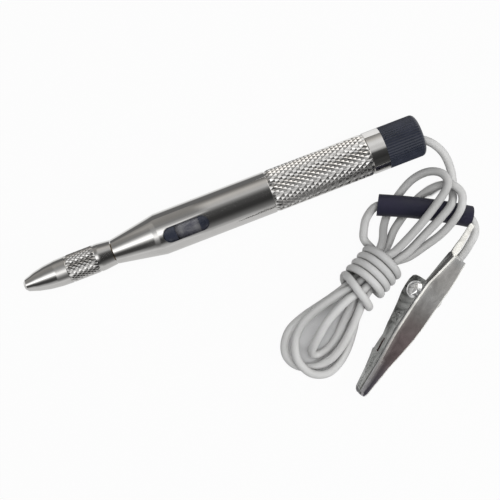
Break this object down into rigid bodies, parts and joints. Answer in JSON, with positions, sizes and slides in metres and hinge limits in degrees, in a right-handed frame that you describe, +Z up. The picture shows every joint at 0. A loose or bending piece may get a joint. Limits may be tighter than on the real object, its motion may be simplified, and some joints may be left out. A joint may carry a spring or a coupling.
{
  "type": "test light",
  "caption": "Pen-shaped circuit tester with a bulb behind a window slot, a tip guard, a knurled grip, a ribbed end cap and a thin lead wound in a hank that ends in a sprung alligator clip.",
  "frame": {"origin": "on the floor under the middle of the pen, measured without the lead and what is on it", "axes": "+X along the pen from the guarded tip to the end cap, +Z up, the lead and the clip lie towards -Y"},
  "size_m": [0.1233, 0.0682, 0.013],
  "materials": {
    "nickel": "bright nickel plating",
    "clip_nickel": "nickel-plated stamped sheet",
    "navy": "satin moulded plastic",
    "lead_grey": "soft satin insulation",
    "brass": "turned",
    "steel": "bright wire",
    "black": "moulded",
    "card": "rolled insulating tube",
    "glass": "clear"
  },
  "bodies": {
    "pen": {"barrel": "nickel", "nose_bush": "brass", "needle": "steel", "bulb_carrier": "navy", "bulb_glass": "glass", "bulb_filament": "steel", "bulb_base": "brass", "bulb_insulator": "black", "bulb_contact": "steel", "insulating_tube": "card", "contact_spring": "steel"},
    "guard": {"tip_guard": "nickel"},
    "lead": {"end_cap": "navy", "lead_terminal": "brass", "cord_lead": "lead_grey", "cord_upper_1": "lead_grey", "cord_upper_2": "lead_grey", "cord_lower_1": "lead_grey", "cord_lower_2": "lead_grey", "cord_lower_3": "lead_grey", "cord_wrap": "lead_grey", "cord_tail": "lead_grey", "lead_sleeve": "navy", "jaw_fixed": "clip_nickel", "clip_rivet": "clip_nickel", "clip_spring": "steel", "lead_crimp": "clip_nickel"},
    "jaw": {"jaw_moving": "clip_nickel"}
  },
  "joints": [
    {"name": "guard_slide", "type": "slide", "parent": "pen", "child": "guard", "axis": [-1, 0, 0], "range_m": [0, 0.024]},
    {"name": "cap_slide", "type": "slide", "parent": "pen", "child": "lead", "axis": [1, 0, 0], "range_m": [0, 0.015]},
    {"name": "jaw_hinge", "type": "hinge", "parent": "lead", "child": "jaw", "pos_m": [0.0434, -0.0417, 0.006], "axis": [0.5271, -0.6309, -0.5693], "range_deg": [0, 10], "stiffness_Nm_per_rad": 0.05, "springref_deg": -20.05, "deforming": ["clip_spring"]}
  ]
}
